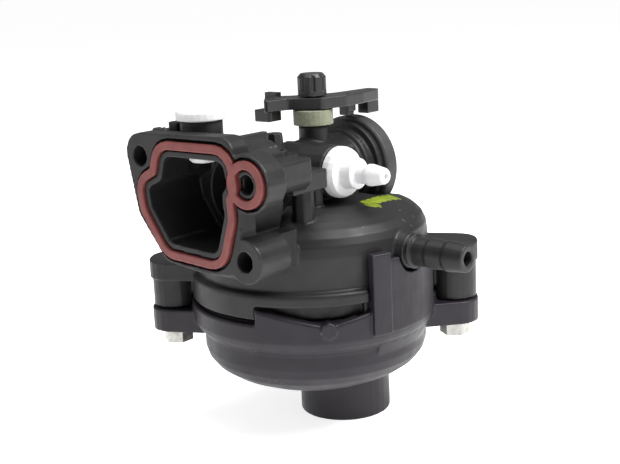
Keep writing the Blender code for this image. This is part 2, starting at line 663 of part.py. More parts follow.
def body_cutters():
    chamber_wall = BOWL_RADIUS - BOWL_WALL - GAP
    cavity = turned("float_chamber", [
        (0.0, COVER_ROOF), (BOWL_RADIUS - 6.6 * MM, COVER_ROOF), (chamber_wall, COVER_ROOF - 3 * MM),
        (chamber_wall, PARTING - 1 * MM), (0.0, PARTING - 1 * MM),
    ], at=(0.0, BOWL_Y), steps=FINE)
    outlet_start = SPIGOT_END - 8 * MM
    bore = turned("bore", [
        (0.0, SPIGOT_END + 1 * MM), (OUTLET_RADIUS, SPIGOT_END + 1 * MM), (OUTLET_RADIUS, outlet_start),
        (THROAT_RADIUS, outlet_start - 2 * MM), (THROAT_RADIUS, THROAT_START + 0.6 * MM),
        (VENTURI_RADIUS, VENTURI_END), (VENTURI_RADIUS, VENTURI_START),
        (FUNNEL_END_RADIUS + 0.8 * MM, INLET_DEPTH - 0.7 * MM), (0.0, INLET_DEPTH - 0.7 * MM),
    ], axis="Y", steps=32)
    shaft_low = -THROAT_RADIUS - SHAFT_FOOT - GAP
    socket_low = NOZZLE_BOSS_END - SOCKET_DEPTH
    nozzle = (NOZZLE_Y, NOZZLE_Z)
    notch = [ring_sector(SKIRT_RADIUS - NOTCH_DEPTH, SKIRT_RADIUS + 3 * MM, *NOTCH_ANGLES)]
    cutters = [
        cavity, bore,
        rod("shaft_hole", SHAFT_RADIUS + GAP, shaft_low, TOWER_TOP + 1 * MM, (0.0, THROTTLE_Y)),
        rod("nozzle_socket", SOCKET_RADIUS, socket_low, NOZZLE_BOSS_END + 1 * MM, nozzle, "X"),
        rod("primer_passage", PRIMER_BORE, 4 * MM, NOZZLE_BOSS_END, nozzle, "X", 12),
        rod("plug_hole", PLUG_SHANK_RADIUS + GAP, PLUG_SHANK_END - 2.6 * MM, PLUG_BOSS_TOP + 1 * MM, PLUG),
        rod("pilot_hole", PILOT_SHANK_RADIUS + GAP, 2.5 * MM, PILOT_BOSS_TOP + 1 * MM, PILOT, sides=20),
        slab("skirt_notch", notch, PARTING - 1 * MM, PARTING + NOTCH_HEIGHT, at=(0.0, BOWL_Y)),
    ]
    low, high = EAR_SPLIT - 1 * MM, EAR_SPLIT + SCREW_REACH - BOWL_EAR_THICKNESS + 1 * MM
    for side in EAR_TOPS:
        hole = rod("screw_hole_" + side, SCREW_RADIUS + GAP, low, high, ear_spot(side), sides=20)
        cutters.append(hole)
    return cutters + flange_cutters() + vent_cutters()


def chamber_towers():
    """What hangs from the cover's roof into the float chamber: jet tower, valve housing and hinge posts."""
    roof = COVER_ROOF + 1 * MM
    towers = [
        rod("jet_tower", JET_TOWER_RADIUS, JET_TOWER_END, roof, (0.0, JET_Y)),
        rod("valve_housing", VALVE_HOUSING_RADIUS, VALVE_HOUSING_END, roof, (VALVE_X, BOWL_Y)),
    ]
    reaches = (HINGE_HALF + GAP, PIN_LENGTH / 2 - 1.3 * MM)
    for sign in (-1, 1):
        near, far = sorted(BOWL_Y + sign * reach for reach in reaches)
        low = (PIN_X - KNUCKLE_RADIUS, near, PIN_Z - KNUCKLE_RADIUS)
        towers.append(block(f"hinge_post_{sign}", low, (PIN_X + KNUCKLE_RADIUS, far, roof)))
    return towers


def tower_cutters():
    seat_top = VALVE_HOUSING_END + VALVE_SEAT_DEPTH
    valve = (VALVE_X, BOWL_Y)
    pin_low, pin_high = BOWL_Y - PIN_LENGTH / 2 - 2 * MM, BOWL_Y + PIN_LENGTH / 2 + 2 * MM
    jet_top = -VENTURI_RADIUS + 1.5 * MM
    passage_start = VALVE_X - 1.6 * MM
    return [
        rod("jet_bore", JET_BORE, JET_TOWER_END - 1 * MM, jet_top, (0.0, JET_Y), sides=20),
        rod("valve_bore", SEAT_RADIUS + GAP, VALVE_HOUSING_END - 1 * MM, seat_top, valve),
        rod("valve_feed", SEAT_BORE + 0.2 * MM, seat_top - SINK, BARB_Z, valve, sides=12),
        rod("fuel_passage", BARB_BORE, passage_start, BARB_END + 1 * MM, (BOWL_Y, BARB_Z), "X", 16),
        rod("hinge_hole", PIN_RADIUS + GAP, pin_low, pin_high, (PIN_X, PIN_Z), "Y", 16),
    ]


def make_main_body():
    body = cover()
    add(body, *flange_shapes(), *bore_shapes(), *trim_shapes(), barb_shape())
    cut(body, *body_cutters())
    add(body, *chamber_towers())
    cut(body, *tower_cutters())
    return publish(body, "main_body", BLACK_NYLON)


# ---------------------------------------------------------------- float bowl

def bowl_profile():
    """The bowl from the middle of its inner floor, out over the rim and down to the outer floor."""
    rim, floor = PARTING - GAP, PARTING - BOWL_DEPTH
    inner_wall, inner_floor = BOWL_RADIUS - BOWL_WALL, floor + BOWL_WALL
    lip = SKIRT_RADIUS - 0.1 * MM
    inside = [
        (inner_wall - inset * MM, inner_floor + rise * MM) for inset, rise in reversed(BOWL_INNER_CURVE)
    ]
    outside = [(BOWL_RADIUS - inset * MM, floor + rise * MM) for inset, rise in BOWL_CURVE]
    return [
        (0.0, inner_floor), *inside, (inner_wall, rim), (lip, rim), (lip, rim - 2.9 * MM),
        (BOWL_RADIUS, rim - 4.2 * MM), *outside, (0.0, floor),
    ]


def shield_shapes():
    """The wall that rises from the bowl in front of the fuel inlet, with its foot and its thick end rib."""
    rim = PARTING - GAP
    root, back, face = BOWL_RADIUS - 1 * MM, SKIRT_RADIUS + SHIELD_ROOM, SKIRT_RADIUS + SHIELD_REACH
    foot = turned("shield_foot", [
        (root, rim - GAP), (face, rim - GAP), (face, rim - 3.5 * MM),
        (root + 0.6 * MM, rim - 11 * MM), (root, rim - 11 * MM),
    ], at=(0.0, BOWL_Y), steps=FINE, ring=True)
    sector = [ring_sector(BOWL_RADIUS - 3 * MM, face + 2 * MM, -19, 21)]
    boolean(foot, [slab("shield_sector", sector, rim - 13 * MM, rim + 1 * MM, at=(0.0, BOWL_Y))], "INTERSECT")
    wall = [ring_sector(back, face, -16, 20)]
    shield = slab("shield", wall, rim - 4 * MM, BARB_Z - 0.5 * MM, at=(0.0, BOWL_Y))
    thick = [ring_sector(back, SKIRT_RADIUS + SHIELD_RIB_REACH, -24, -15, 4)]
    rib = slab("shield_rib", thick, rim - 1.5 * MM, BARB_Z + 1.4 * MM, at=(0.0, BOWL_Y))
    rib_foot = [ring_sector(root, SKIRT_RADIUS + SHIELD_RIB_REACH, -24, -15, 4)]
    foot_block = slab("rib_foot", rib_foot, rim - 4 * MM, rim - GAP, at=(0.0, BOWL_Y))
    return [foot, shield, rib, foot_block]


def ledge(name, first, last, rise):
    """A rounded lip round part of the bowl's rim, rising away from the middle of the two ledges."""
    radius, low = SKIRT_RADIUS + 0.1 * MM, PARTING - GAP - 1.6 * MM
    points = [around_bowl(radius, a, low + (a - LEDGE_MIDDLE) * rise) for a in range(first, last, 4)]
    return bar(name, points, 1.2 * MM)


def bowl_shapes():
    sump = rod("sump", SUMP_RADIUS, SUMP_BOTTOM, PARTING - BOWL_DEPTH + 4.1 * MM, SUMP, sides=FINE)
    low = PARTING - GAP - 1.6 * MM
    nub_ends = [around_bowl(r, LEDGE_MIDDLE, low) for r in (BOWL_RADIUS - 1 * MM, SKIRT_RADIUS + 2 * MM)]
    left = ledge("ledge_left", -72, -40, -LEDGE_RISE)
    right = ledge("ledge_right", -42, -26, LEDGE_RISE)
    return [sump, left, right, bar("ledge_nub", nub_ends, 2.0 * MM), *shield_shapes()]


def make_float_bowl():
    bowl = turned("bowl", bowl_profile(), at=(0.0, BOWL_Y), steps=FINE)
    add(bowl, *bowl_shapes())
    rim = PARTING - GAP
    sump_top = PARTING - BOWL_DEPTH + 6 * MM
    inner, outer = GASKET_RADIUS - GASKET_CORD - GAP / 2, GASKET_RADIUS + GASKET_CORD + GAP / 2
    over, under = rim + 1 * MM, rim - GASKET_GROOVE
    section = [(outer, over), (outer, under), (inner, under), (inner, over)]
    groove = turned("gasket_groove", section, at=(0.0, BOWL_Y), steps=FINE, ring=True)
    cut(bowl, rod("sump_bore", SUMP_RADIUS - BOWL_WALL, SUMP_BOTTOM + BOWL_WALL, sump_top, SUMP, sides=FINE))
    cut(bowl, groove, rod("barb_slot", BARB_COLLAR + 0.7 * MM, BOWL_RADIUS, SKIRT_RADIUS + 4 * MM,
                          (BOWL_Y, BARB_Z), "X"))
    ear_top = EAR_SPLIT - GAP
    ear_low = ear_top - BOWL_EAR_THICKNESS
    for side in EAR_TOPS:
        add(bowl, ear_tab("bowl_tab_" + side, side, ear_low, ear_top))
        cut(bowl, rod("bowl_screw_hole_" + side, SCREW_RADIUS + GAP, ear_low - 1 * MM, ear_top + 1 * MM,
                      ear_spot(side), sides=20))
    return publish(bowl, "float_bowl", BOWL_NYLON)


def make_bowl_screw(side):
    seat = EAR_SPLIT - BOWL_EAR_THICKNESS - 2 * GAP
    spot = ear_spot(side)
    across = SCREW_HEAD_FLATS / 2 / math.cos(math.pi / 6)
    screw = rod("screw_" + side, SCREW_RADIUS, seat - SINK, seat + SCREW_REACH, spot, sides=16)
    add(screw, rod("screw_head_" + side, across, seat - SCREW_HEAD_HEIGHT, seat, spot, sides=6),
        rod("screw_collar_" + side, SCREW_HEAD_FLATS * 0.58, seat - 0.9 * MM, seat, spot))
    return publish(screw, "bowl_screw_" + side, ZINC)


def make_bowl_gasket():
    height = PARTING - GASKET_GROOVE + GASKET_CORD
    profile = cord_profile(GASKET_RADIUS, height, GASKET_CORD)
    gasket = turned("gasket", profile, at=(0.0, BOWL_Y), steps=36, ring=True)
    return publish(gasket, "bowl_gasket", BLACK_RUBBER)


# ---------------------------------------------------------------- seals

def make_inlet_seal():
    loop, eye = seal_outlines(0.0, 0.0)
    seal = slab("seal", loop, -SEAL_PROUD, SEAL_GROOVE - GAP, "Y")
    add(seal, slab("seal_eye", eye, -SEAL_PROUD, SEAL_GROOVE - GAP, "Y"))
    return publish(seal, "inlet_seal", RED_SILICONE)


def make_spigot_seal():
    back = SPIGOT_END - SPIGOT_SEAL_END
    front = back - SPIGOT_SEAL_WIDTH
    inner, outer = SPIGOT_RADIUS + GAP, SPIGOT_SEAL_RADIUS
    profile = [
        (inner, back), (outer - 0.8 * MM, back), (outer, back - 0.8 * MM), (outer, front + 0.5 * MM),
        (outer - 0.5 * MM, front), (inner, front),
    ]
    return publish(turned("ring", profile, axis="Y", steps=48, ring=True), "spigot_seal", BLACK_RUBBER)


def make_nozzle_oring():
    middle = (NOZZLE_SHANK + SOCKET_RADIUS) / 2
    profile = cord_profile(middle, NOZZLE_BOSS_END - SOCKET_DEPTH / 2, ORING)
    ring = turned("oring", profile, at=(NOZZLE_Y, NOZZLE_Z), axis="X", steps=16, ring=True)
    return publish(ring, "nozzle_oring", BLACK_RUBBER)


# ---------------------------------------------------------------- throttle

def throttle_levels():
    washer = TOWER_TOP + GAP
    lever = washer + WASHER_HEIGHT + GAP
    knob = lever + LEVER_THICKNESS + GAP
    return washer, lever, knob


def make_throttle_shaft():
    knob = throttle_levels()[2]
    foot = -THROAT_RADIUS - SHAFT_FOOT
    shaft = rod("shaft", SHAFT_RADIUS, foot, knob + SINK, (0.0, THROTTLE_Y))
    head = turned("shaft_head", [
        (0.0, KNOB_HEIGHT), (KNOB_RADIUS - 0.8 * MM, KNOB_HEIGHT), (KNOB_RADIUS, KNOB_HEIGHT - 0.9 * MM),
        (KNOB_RADIUS, 0.0), (0.0, 0.0),
    ])
    head.location = (0.0, THROTTLE_Y, knob)
    add(shaft, head)
    half = PLATE_THICKNESS / 2 + GAP
    reach = THROAT_RADIUS - 0.1 * MM
    cut(shaft, block("plate_slot", (-4 * MM, THROTTLE_Y - half, -reach), (4 * MM, THROTTLE_Y + half, reach)))
    for i, spot in enumerate(circle(KNOB_RADIUS + 0.1 * MM, (0.0, THROTTLE_Y), steps=KNOB_FLUTES)):
        cut(shaft, rod(f"flute_{i}", 0.6 * MM, knob + 1.2 * MM, knob + KNOB_HEIGHT + 1 * MM, spot, sides=8))
    return publish(shaft, "throttle_shaft", LEVER_NYLON)


def make_throttle_lever():
    low = throttle_levels()[1]
    top = low + LEVER_THICKNESS
    under = low - LEVER_LIP
    lever = slab("lever", [rounded(LEVER_CORNERS)], low, top, at=(0.0, THROTTLE_Y))
    y = THROTTLE_Y
    add(lever, block("hook_end", (1.2 * MM, y + 16.8 * MM, under), (4.1 * MM, y + 20.7 * MM, low + SINK)),
        block("hook_post", (-0.6 * MM, y + 11.2 * MM, under), (2.2 * MM, y + 14.0 * MM, low + SINK)),
        block("short_wall", (-11.4 * MM, y - 4.6 * MM, top - SINK),
              (-7.4 * MM, y - 3.0 * MM, top + 1.2 * MM)),
        block("short_block", (-8.0 * MM, y - 9.6 * MM, under), (-4.8 * MM, y - 6.6 * MM, low + SINK)))
    groove = [(-13 * MM, y - 8.4 * MM, top + 0.4 * MM), (-4.4 * MM, y - 4.6 * MM, top + 0.9 * MM)]
    cut(lever, rod("lever_bore", SHAFT_RADIUS + GAP, low - 1 * MM, top + 1 * MM, (0.0, y)),
        rod("link_hole", LINK_HOLE, low - 1 * MM, top + 1 * MM, (3.4 * MM, y + 9 * MM), sides=16),
        bar("short_groove", groove, 1.4 * MM))
    return publish(lever, "throttle_lever", LEVER_NYLON)


def make_throttle_plate():
    half = PLATE_THICKNESS / 2
    plate = rod("plate", THROAT_RADIUS - GAP, THROTTLE_Y - half, THROTTLE_Y + half, (0.0, 0.0), "Y")
    return publish(plate, "throttle_plate", BRASS)


def make_throttle_washer():
    low = throttle_levels()[0]
    inner, outer = SHAFT_RADIUS + GAP, WASHER_RADIUS
    profile = [(inner, low + WASHER_HEIGHT), (outer, low + WASHER_HEIGHT), (outer, low), (inner, low)]
    washer = turned("felt", profile, at=(0.0, THROTTLE_Y), ring=True)
    return publish(washer, "throttle_washer", GREEN_FELT)


# ---------------------------------------------------------------- plugs and jets

def make_choke_plug():
    low = PLUG_BOSS_TOP + GAP
    top = low + PLUG_CAP_HEIGHT
    plug = turned("plug", [
        (0.0, top), (PLUG_CAP_RADIUS - 0.5 * MM, top), (PLUG_CAP_RADIUS, top - 0.4 * MM),
        (PLUG_CAP_RADIUS, low), (PLUG_SHANK_RADIUS, low), (PLUG_SHANK_RADIUS, PLUG_SHANK_END + 0.6 * MM),
        (PLUG_SHANK_RADIUS - 0.7 * MM, PLUG_SHANK_END), (0.0, PLUG_SHANK_END),
    ], at=PLUG)
    return publish(plug, "choke_plug", WHITE_ACETAL)


def make_primer_nozzle():
    base = NOZZLE_BOSS_END + GAP
    tip = base + NOZZLE_LENGTH
    r = NOZZLE_DISC_RADIUS
    foot = NOZZLE_BOSS_END - SOCKET_DEPTH + GAP
    spot = (NOZZLE_Y, NOZZLE_Z)
    nozzle = turned("nozzle", [
        (0.0, tip), (1.5 * MM, tip), (1.9 * MM, tip - 0.5 * MM), (2.55 * MM, tip - 3.9 * MM),
        (2.55 * MM, tip - 4.8 * MM), (2.2 * MM, tip - 5.2 * MM), (2.3 * MM, tip - 7.6 * MM),
        (3.6 * MM, tip - 7.9 * MM), (3.8 * MM, tip - 10.9 * MM), (r - 0.5 * MM, tip - 11.3 * MM),
        (r, tip - 12.5 * MM), (r, base), (NOZZLE_SHANK, base), (NOZZLE_SHANK, foot), (0.0, foot),
    ], at=spot, axis="X")
    cut(nozzle, rod("nozzle_bore", PRIMER_BORE, foot - 1 * MM, tip + 1 * MM, spot, "X", 12))
    return publish(nozzle, "primer_nozzle", WHITE_ACETAL)


def make_pilot_jet():
    low = PILOT_BOSS_TOP + GAP
    top = low + PILOT_CAP_HEIGHT
    jet = rod("pilot", PILOT_CAP_RADIUS, low, top, PILOT, sides=8, end_radius=PILOT_CAP_RADIUS * 0.86)
    foot = PILOT_BOSS_TOP - PILOT_DEPTH
    add(jet, rod("pilot_shank", PILOT_SHANK_RADIUS, foot, low + SINK, PILOT, sides=16))
    return publish(jet, "pilot_jet", LEVER_NYLON)


def make_emulsion_tube():
    low, high = JET_TOWER_END + JET_LENGTH, -VENTURI_RADIUS + 2.2 * MM
    profile = [(TUBE_BORE, high), (TUBE_RADIUS, high), (TUBE_RADIUS, low), (TUBE_BORE, low)]
    tube = turned("tube", profile, at=(0.0, JET_Y), steps=20, ring=True)
    near, far = JET_Y - JET_TOWER_RADIUS, JET_Y + JET_TOWER_RADIUS
    for i in range(CROSS_HOLES):
        spot = (CROSS_SHIFT, low + (4 + 5 * i) * MM)
        cut(tube, rod(f"cross_hole_{i}", 0.45 * MM, near, far, spot, "Y", 6))
    return publish(tube, "emulsion_tube", BRASS)


def make_main_jet():
    high = JET_TOWER_END + JET_LENGTH - GAP
    seat = JET_TOWER_END - GAP
    low = seat - JET_HEAD_HEIGHT
    shank = JET_BORE - GAP
    profile = [
        (JET_ORIFICE, high), (shank, high), (shank, seat), (JET_HEAD_RADIUS, seat), (JET_HEAD_RADIUS, low),
        (JET_ORIFICE, low),
    ]
    return publish(turned("jet", profile, at=(0.0, JET_Y), steps=20, ring=True), "main_jet", BRASS)


# ---------------------------------------------------------------- float gear

def needle_levels():
    """Seat, needle and float tang heights, from the valve housing downwards."""
    seat_top = VALVE_HOUSING_END + VALVE_SEAT_DEPTH - GAP
    needle_top = seat_top - SEAT_HEIGHT - GAP
    return seat_top, needle_top, needle_top - NEEDLE_LENGTH - GAP


def make_needle_seat():
    top = needle_levels()[0]
    low = top - SEAT_HEIGHT
    profile = [(SEAT_BORE, top), (SEAT_RADIUS, top), (SEAT_RADIUS, low), (SEAT_BORE, low)]
    seat = turned("seat", profile, at=(VALVE_X, BOWL_Y), steps=20, ring=True)
    return publish(seat, "needle_seat", BLACK_RUBBER)


def make_inlet_needle():
    top = needle_levels()[1]
    profile = [
        (0.0, top), (0.3 * MM, top), (NEEDLE_RADIUS, top - 2.0 * MM), (NEEDLE_RADIUS, top - NEEDLE_LENGTH),
        (0.0, top - NEEDLE_LENGTH),
    ]
    return publish(turned("needle", profile, at=(VALVE_X, BOWL_Y), steps=16), "inlet_needle", STEEL)


def make_float():
    """The float, with its origin on the pin that it swings about."""
    tang_top = needle_levels()[2]
    bottom = FLOAT_TOP - FLOAT_HEIGHT
    chamfer = 2.4 * MM
    low_y, high_y = BOWL_Y - HINGE_HALF, BOWL_Y + HINGE_HALF
    ring = turned("float_ring", [
        (FLOAT_INNER, FLOAT_TOP), (FLOAT_RADIUS - 1 * MM, FLOAT_TOP), (FLOAT_RADIUS, FLOAT_TOP - 1 * MM),
        (FLOAT_RADIUS, bottom + chamfer), (FLOAT_RADIUS - chamfer, bottom), (FLOAT_INNER, bottom),
    ], at=(0.0, BOWL_Y), steps=40, ring=True)
    cut(ring, block("float_slot", (-FLOAT_SLOT, BOWL_Y - FLOAT_RADIUS - 2 * MM, bottom - 1 * MM),
                    (FLOAT_SLOT, BOWL_Y - 2 * MM, FLOAT_TOP + 1 * MM)))
    low = FLOAT_TOP - SINK
    tang = block(
        "tang", (VALVE_X - TANG_HALF, BOWL_Y - TANG_HALF, low), (PIN_X, BOWL_Y + TANG_HALF, tang_top),
    )
    foot = block("knuckle_foot", (PIN_X - 2.2 * MM, low_y, low - SINK), (PIN_X - 0.3 * MM, high_y, PIN_Z))
    axle = (PIN_X, PIN_Z)
    knuckle = rod("knuckle", KNUCKLE_RADIUS, low_y, high_y, axle, "Y", 16)
    add(knuckle, ring, tang, foot)
    cut(knuckle, rod("knuckle_bore", PIN_RADIUS + GAP, low_y - 1 * MM, high_y + 1 * MM, axle, "Y", 16))
    return publish(knuckle, "float", FLOAT_FOAM)


def make_float_pin():
    half = PIN_LENGTH / 2
    pin = rod("pin", PIN_RADIUS, BOWL_Y - half, BOWL_Y + half, (PIN_X, PIN_Z), "Y", 16)
    return publish(pin, "float_pin", STEEL)


make_main_body()
make_float_bowl()
make_bowl_gasket()
for ear_side in EAR_TOPS:
    make_bowl_screw(ear_side)
make_inlet_seal()
make_spigot_seal()
make_throttle_shaft()
make_throttle_lever()
make_throttle_plate()
make_throttle_washer()
make_choke_plug()
make_primer_nozzle()
make_nozzle_oring()
make_pilot_jet()
make_emulsion_tube()
make_main_jet()
make_needle_seat()
make_inlet_needle()
make_float()
make_float_pin()
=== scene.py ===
"""The looks of a float-bowl carburetor, built round its CAD solids.

The frame's origin is the centre of the air inlet, +Y runs along the bore and +Z is up.
Lengths are in metres, written as millimetres times MM, unless a docstring says millimetres.
"""

import math

import bmesh
import bpy
import numpy as np
from mathutils import Matrix, Vector


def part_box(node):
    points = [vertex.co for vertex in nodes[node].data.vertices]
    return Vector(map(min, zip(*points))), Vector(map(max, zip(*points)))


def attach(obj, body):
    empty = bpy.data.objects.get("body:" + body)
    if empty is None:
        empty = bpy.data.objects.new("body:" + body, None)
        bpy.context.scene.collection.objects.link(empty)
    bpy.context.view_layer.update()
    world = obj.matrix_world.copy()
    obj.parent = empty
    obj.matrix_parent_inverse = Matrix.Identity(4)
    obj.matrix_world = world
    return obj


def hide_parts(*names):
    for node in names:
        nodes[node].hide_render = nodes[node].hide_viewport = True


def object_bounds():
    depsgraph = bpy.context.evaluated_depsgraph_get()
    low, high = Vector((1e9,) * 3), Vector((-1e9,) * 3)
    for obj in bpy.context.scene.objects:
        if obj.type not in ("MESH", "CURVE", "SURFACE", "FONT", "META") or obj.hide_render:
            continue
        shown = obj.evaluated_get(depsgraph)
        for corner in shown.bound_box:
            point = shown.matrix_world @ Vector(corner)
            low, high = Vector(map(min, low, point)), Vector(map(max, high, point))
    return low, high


MM = 0.001

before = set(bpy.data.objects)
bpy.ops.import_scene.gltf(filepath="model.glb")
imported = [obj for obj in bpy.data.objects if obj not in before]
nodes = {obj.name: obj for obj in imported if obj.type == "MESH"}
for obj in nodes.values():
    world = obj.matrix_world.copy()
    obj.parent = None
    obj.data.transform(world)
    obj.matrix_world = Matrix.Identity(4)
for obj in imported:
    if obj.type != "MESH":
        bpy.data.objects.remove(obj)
cad_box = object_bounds()


def edge(name, side, axis):
    """The lowest (side 0) or highest (side 1) place of a CAD node along axis 0, 1 or 2."""
    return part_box(name)[side][axis]


def middle(name, axis):
    return (edge(name, 0, axis) + edge(name, 1, axis)) / 2


BOWL_Y = middle("float_pin", 1)     # the axis of the dome and the bowl
SKIRT_RADIUS = 28.7 * MM            # the cover's rim
DOME_SIDES = 48                     # flat sides round the dome and the bowl
ROUND_REACH = SKIRT_RADIUS + 0.2 * MM
WELD_DISTANCE = 1e-6
RELAX_PUSH = 0.55
RELAX_PULL = -0.57
REFRACTION = 1.5                    # every material's index of refraction


# ---------------------------------------------------------------- materials

def shader_nodes(name, roughness, metallic=0.0):
    material = bpy.data.materials.new(name)
    material.use_nodes = True
    tree = material.node_tree
    shader = tree.nodes["Principled BSDF"]
    shader.inputs["Roughness"].default_value = roughness
    shader.inputs["Metallic"].default_value = metallic
    shader.inputs["IOR"].default_value = REFRACTION
    return material, tree, shader


def add_node(tree, kind, **values):
    made = tree.nodes.new(kind)
    for key, value in values.items():
        if key in made.inputs:
            made.inputs[key].default_value = value
        else:
            setattr(made, key.lower(), value)
    return made


def noise(tree, cells, detail=3.0, roughness=0.55):
    """Noise over the object, with its scale in cells per metre."""
    place = add_node(tree, "ShaderNodeTexCoord")
    made = add_node(tree, "ShaderNodeTexNoise", Scale=cells, Detail=detail, Roughness=roughness)
    tree.links.new(place.outputs["Object"], made.inputs["Vector"])
    return made.outputs["Fac"]


def spread(tree, source, low, high, start=0.3, end=0.7):
    """Maps a texture's values between start and end to low and high."""
    made = add_node(tree, "ShaderNodeMapRange")
    made.inputs["From Min"].default_value = start
    made.inputs["From Max"].default_value = end
    made.inputs["To Min"].default_value = low
    made.inputs["To Max"].default_value = high
    tree.links.new(source, made.inputs["Value"])
    return made.outputs["Result"]


def mixed(tree, share, first, second):
    """A colour between two, each a colour or a socket."""
    made = add_node(tree, "ShaderNodeMix")
    made.data_type = "RGBA"
    tree.links.new(share, made.inputs["Factor"])
    for socket, value in ((made.inputs[6], first), (made.inputs[7], second)):
        if isinstance(value, tuple):
            socket.default_value = (*value, 1.0)
        else:
            tree.links.new(value, socket)
    return made.outputs[2]


def cloudy_colour(tree, shader, dark, pale, cells, detail=3.0):
    """Colours the surface in soft clouds between two tones."""
    clouds = spread(tree, noise(tree, cells, detail), 0.0, 1.0)
    tree.links.new(mixed(tree, clouds, dark, pale), shader.inputs["Base Color"])


def uneven_gloss(tree, shader, low, high, cells, detail=3.0):
    """Lets the roughness wander between two values."""
    tree.links.new(spread(tree, noise(tree, cells, detail), low, high), shader.inputs["Roughness"])


def bump(tree, shader, cells, strength, depth, detail=3.0, roughness=0.55):
    """Adds a bump of noise over any that the shader has already, with its depth in metres."""
    made = add_node(tree, "ShaderNodeBump", Strength=strength, Distance=depth)
    tree.links.new(noise(tree, cells, detail, roughness), made.inputs["Height"])
    for link in shader.inputs["Normal"].links:
        tree.links.new(link.from_socket, made.inputs["Normal"])
    tree.links.new(made.outputs["Normal"], shader.inputs["Normal"])


def wear_and_highlight_edges(tree):
    """1 on sharp outer edges, where wear and a painted edge highlight go; 0 on flats and hollows."""
    shape = add_node(tree, "ShaderNodeNewGeometry")
    return spread(tree, shape.outputs["Pointiness"], 0.0, 1.0, start=0.52, end=0.62)


def moulded_plastic(name, dark, pale, edge_wear_and_highlight, roughness, gloss):
    """Satin moulded plastic: cloudy tone, fine grain, sharp edges painted paler, partly as rubbed wear and
    partly as a painted highlight.
    """
    material, tree, shader = shader_nodes(name, roughness)
    shader.inputs["Specular IOR Level"].default_value = gloss
    clouds = spread(tree, noise(tree, cells=90.0, detail=4.0), 0.0, 1.0)
    tone = mixed(tree, clouds, dark, pale)
    # Paler sharp edges: partly rubbed wear, partly a painted highlight standing in for light caught on the
    # edges.
    rubbed_and_lit = add_node(tree, "ShaderNodeMath", operation="MULTIPLY")
    tree.links.new(wear_and_highlight_edges(tree), rubbed_and_lit.inputs[0])
    tree.links.new(spread(tree, noise(tree, cells=700.0), 0.25, 1.0), rubbed_and_lit.inputs[1])
    tree.links.new(mixed(tree, rubbed_and_lit.outputs[0], tone, edge_wear_and_highlight), shader.inputs["Base Color"])
    uneven_gloss(tree, shader, roughness - 0.06, roughness + 0.08, cells=240.0, detail=4.0)
    bump(tree, shader, cells=3200.0, strength=0.25, depth=0.02 * MM, detail=2.0)
    bump(tree, shader, cells=260.0, strength=0.25, depth=0.03 * MM)
    return material


def rubber(name, dark, pale, roughness):
    material, tree, shader = shader_nodes(name, roughness)
    cloudy_colour(tree, shader, dark, pale, cells=300.0)
    uneven_gloss(tree, shader, roughness - 0.05, roughness + 0.1, cells=900.0)
    bump(tree, shader, cells=2400.0, strength=0.3, depth=0.03 * MM)
    return material


def felt(name, dark, pale):
    material, tree, shader = shader_nodes(name, roughness=0.9)
    shader.inputs["Sheen Weight"].default_value = 0.3
    cloudy_colour(tree, shader, dark, pale, cells=1500.0, detail=5.0)
    bump(tree, shader, cells=2600.0, strength=0.8, depth=0.08 * MM, detail=5.0, roughness=0.7)
    return material


def milky_plastic(name, dark, pale):
    """White plastic that light sinks into, with a faint glow in place of the light it passes on."""
    material, tree, shader = shader_nodes(name, roughness=0.38)
    shader.inputs["Subsurface Weight"].default_value = 0.25
    shader.inputs["Subsurface Radius"].default_value = (1.2 * MM, 1.1 * MM, 1.0 * MM)
    shader.inputs["Subsurface Scale"].default_value = 1.0
    shader.inputs["Emission Color"].default_value = (*pale, 1.0)
    shader.inputs["Emission Strength"].default_value = 0.14
    cloudy_colour(tree, shader, dark, pale, cells=160.0)
    bump(tree, shader, cells=1800.0, strength=0.15, depth=0.02 * MM)
    return material


def metal(name, dark, pale, roughness):
    material, tree, shader = shader_nodes(name, roughness, metallic=1.0)
    cloudy_colour(tree, shader, dark, pale, cells=500.0)
    uneven_gloss(tree, shader, roughness - 0.08, roughness + 0.12, cells=1400.0)
    bump(tree, shader, cells=2500.0, strength=0.15, depth=0.02 * MM)
    return material


def paint(name, dark, pale):
    material, tree, shader = shader_nodes(name, roughness=0.45)
    cloudy_colour(tree, shader, dark, pale, cells=420.0)
    bump(tree, shader, cells=1500.0, strength=0.5, depth=0.05 * MM)
    return material


# Each plastic's worn colour paints its sharp edges paler, as wear and as a painted edge highlight.
BLACK = moulded_plastic(
    "black_nylon", dark=(0.013, 0.0128, 0.0135), pale=(0.021, 0.0202, 0.021), edge_wear_and_highlight=(0.08, 0.08, 0.08),
    roughness=0.42, gloss=0.30,
)
BOWL_BLACK = moulded_plastic(
    "bowl_nylon", dark=(0.015, 0.0125, 0.017), pale=(0.023, 0.0195, 0.025), edge_wear_and_highlight=(0.08, 0.075, 0.082),
    roughness=0.42, gloss=0.28,
)
LEVER_BLACK = moulded_plastic(
    "lever_nylon", dark=(0.012, 0.012, 0.0125), pale=(0.020, 0.020, 0.021), edge_wear_and_highlight=(0.12, 0.12, 0.12),
    roughness=0.30, gloss=0.50,
)
SILICONE = rubber("red_silicone", (0.15, 0.032, 0.030), (0.22, 0.052, 0.046), roughness=0.55)
RUBBER = rubber("black_rubber", (0.030, 0.029, 0.031), (0.045, 0.044, 0.046), roughness=0.55)
FELT = felt("olive_felt", (0.19, 0.20, 0.13), (0.27, 0.285, 0.20))
WHITE = milky_plastic("milky_acetal", (0.66, 0.66, 0.67), (0.76, 0.76, 0.77))
ZINC = metal("zinc_plate", (0.34, 0.335, 0.315), (0.50, 0.49, 0.46), roughness=0.40)
STEEL = metal("bright_steel", (0.55, 0.55, 0.56), (0.66, 0.66, 0.67), roughness=0.25)
BRASS = metal("brass", (0.62, 0.44, 0.18), (0.78, 0.58, 0.27), roughness=0.30)
